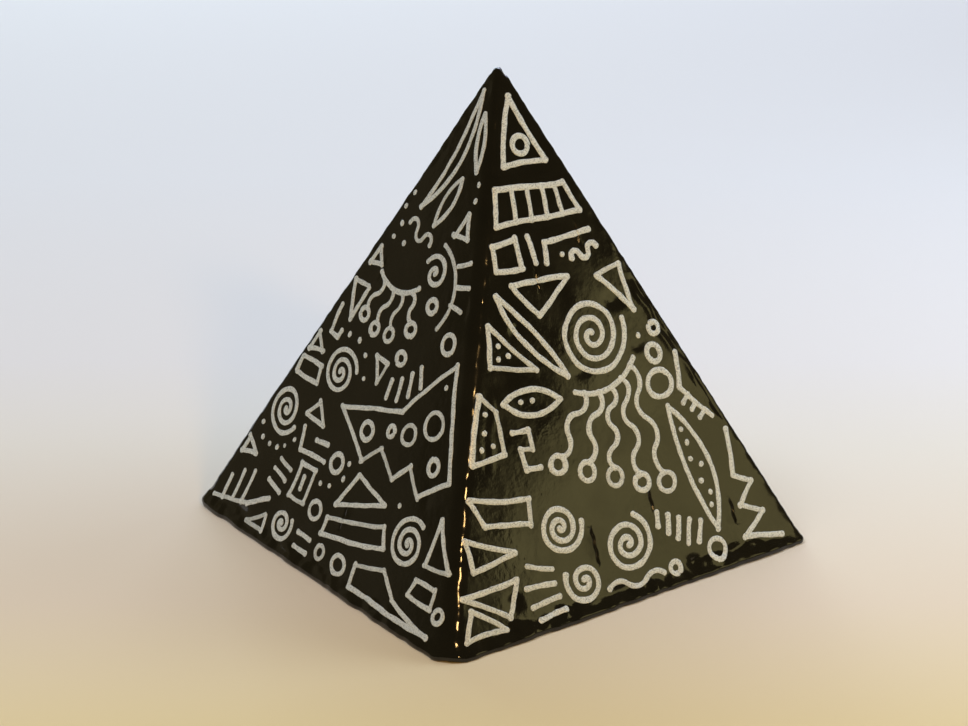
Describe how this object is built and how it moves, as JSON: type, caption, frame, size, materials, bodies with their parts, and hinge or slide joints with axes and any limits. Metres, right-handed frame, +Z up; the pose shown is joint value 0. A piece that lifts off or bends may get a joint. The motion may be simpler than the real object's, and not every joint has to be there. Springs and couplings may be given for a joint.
{
  "type": "painted wooden pyramid",
  "caption": "Solid square-based desk pyramid in glossy black lacquer, covered on its four sides with raised silver-white line drawings of spirals, rings, triangles and waves.",
  "frame": {"origin": "middle of the square base, on the surface that the pyramid stands on", "axes": "+Z up through the apex; -Y faces out of the front side and -X out of the left side, with the base edges along X and Y"},
  "size_m": [0.0886, 0.0886, 0.0963],
  "materials": {
    "wood": "bare sanded end grain",
    "lacquer": "brushed gloss black enamel",
    "marker_paint": "silver-white paint marker under clear varnish"
  },
  "bodies": {
    "root": {"wood_core": "wood", "black_lacquer": "lacquer", "front_spirals": "marker_paint", "front_rings": "marker_paint", "front_dots": "marker_paint", "front_triangles": "marker_paint", "front_boxes": "marker_paint", "front_leaves": "marker_paint", "front_bars": "marker_paint", "front_zigzags": "marker_paint", "front_tassels": "marker_paint", "right_spirals": "marker_paint", "right_rings": "marker_paint", "right_dots": "marker_paint", "right_triangles": "marker_paint", "right_boxes": "marker_paint", "right_leaves": "marker_paint", "right_bars": "marker_paint", "right_zigzags": "marker_paint", "right_tassels": "marker_paint", "back_spirals": "marker_paint", "back_rings": "marker_paint", "back_dots": "marker_paint", "back_triangles": "marker_paint", "back_boxes": "marker_paint", "back_leaves": "marker_paint", "back_bars": "marker_paint", "back_zigzags": "marker_paint", "back_tassels": "marker_paint", "left_spirals": "marker_paint", "left_rings": "marker_paint", "left_dots": "marker_paint", "left_triangles": "marker_paint", "left_boxes": "marker_paint", "left_leaves": "marker_paint", "left_bars": "marker_paint", "left_zigzags": "marker_paint", "left_tassels": "marker_paint"}
  },
  "joints": []
}
